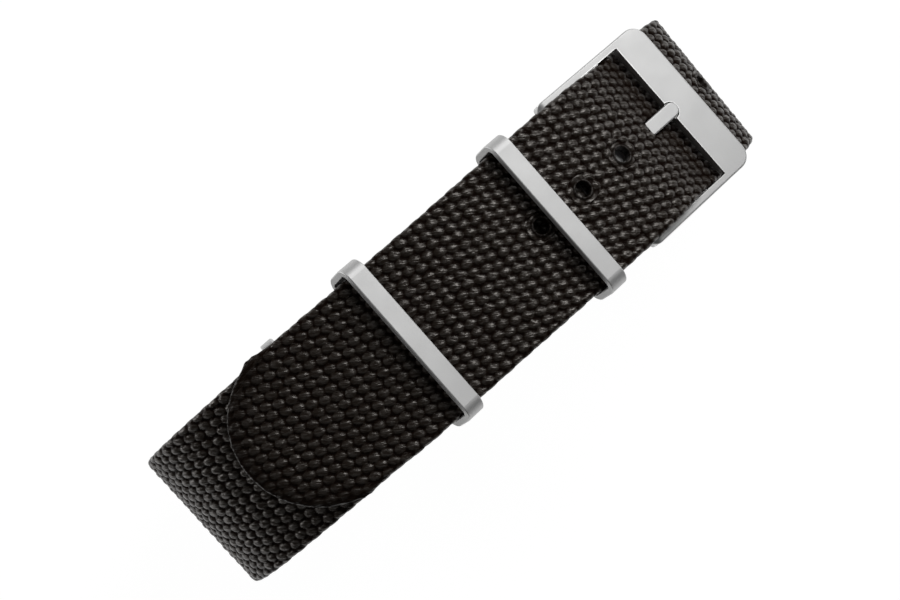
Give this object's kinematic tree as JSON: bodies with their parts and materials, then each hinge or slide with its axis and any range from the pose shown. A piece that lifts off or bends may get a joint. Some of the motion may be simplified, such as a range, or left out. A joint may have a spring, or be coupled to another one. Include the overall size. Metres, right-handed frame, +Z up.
{
  "type": "watch strap",
  "caption": "Woven one-piece pass-through watch strap with a tongue buckle and metal keeper rings, buckled into a closed loop with its tail lying over the top.",
  "frame": {"origin": "on the resting underside of the webbing, on its centre line, under the middle of the loop", "axes": "+X from the free tip of the tail towards the buckle, +Y across the webbing, +Z up from the surface that the loop lies on"},
  "size_m": [0.0858, 0.0237, 0.0418],
  "materials": {
    "webbing": "coarse plain-woven nylon webbing, black, dull with a slight sheen on the yarn crowns",
    "thread": "black twisted polyester sewing thread",
    "steel": "satin, bead-blasted light grey steel with slightly brighter rounded edges"
  },
  "bodies": {
    "root": {"long_strap": "webbing", "short_strap": "webbing", "seam_buckle": "thread", "seam_front": "thread", "seam_rear": "thread", "seam_end": "thread"},
    "buckle": {"buckle_frame": "steel", "hinge_pin": "steel"},
    "tongue": {"tongue": "steel"},
    "ring_front": {"keeper_front": "steel"},
    "ring_rear": {"keeper_rear": "steel"},
    "ring_end": {"keeper_end": "steel"}
  },
  "joints": [
    {"name": "buckle_hinge", "type": "hinge", "parent": "root", "child": "buckle", "pos_m": [0.0236, 0, 0.02924], "axis": [0, -1, 0], "range_deg": [0, 15], "deforming": ["long_strap"]},
    {"name": "tongue_hinge", "type": "hinge", "parent": "buckle", "child": "tongue", "pos_m": [0.0236, 0, 0.02924], "axis": [0, -1, 0], "range_deg": [0, 20], "deforming": ["long_strap"]},
    {"name": "keeper_front_rock", "type": "hinge", "parent": "root", "child": "ring_front", "pos_m": [0.01423, 0, 0.03256], "axis": [0, 1, 0], "range_deg": [-16, 8]},
    {"name": "keeper_rear_rock", "type": "hinge", "parent": "root", "child": "ring_rear", "pos_m": [-0.00811, 0, 0.03617], "axis": [0, 1, 0], "range_deg": [-34, 0]},
    {"name": "keeper_end_rock", "type": "hinge", "parent": "root", "child": "ring_end", "pos_m": [-0.0227, 0, 0.00531], "axis": [0, 1, 0], "range_deg": [-4, 20]}
  ]
}
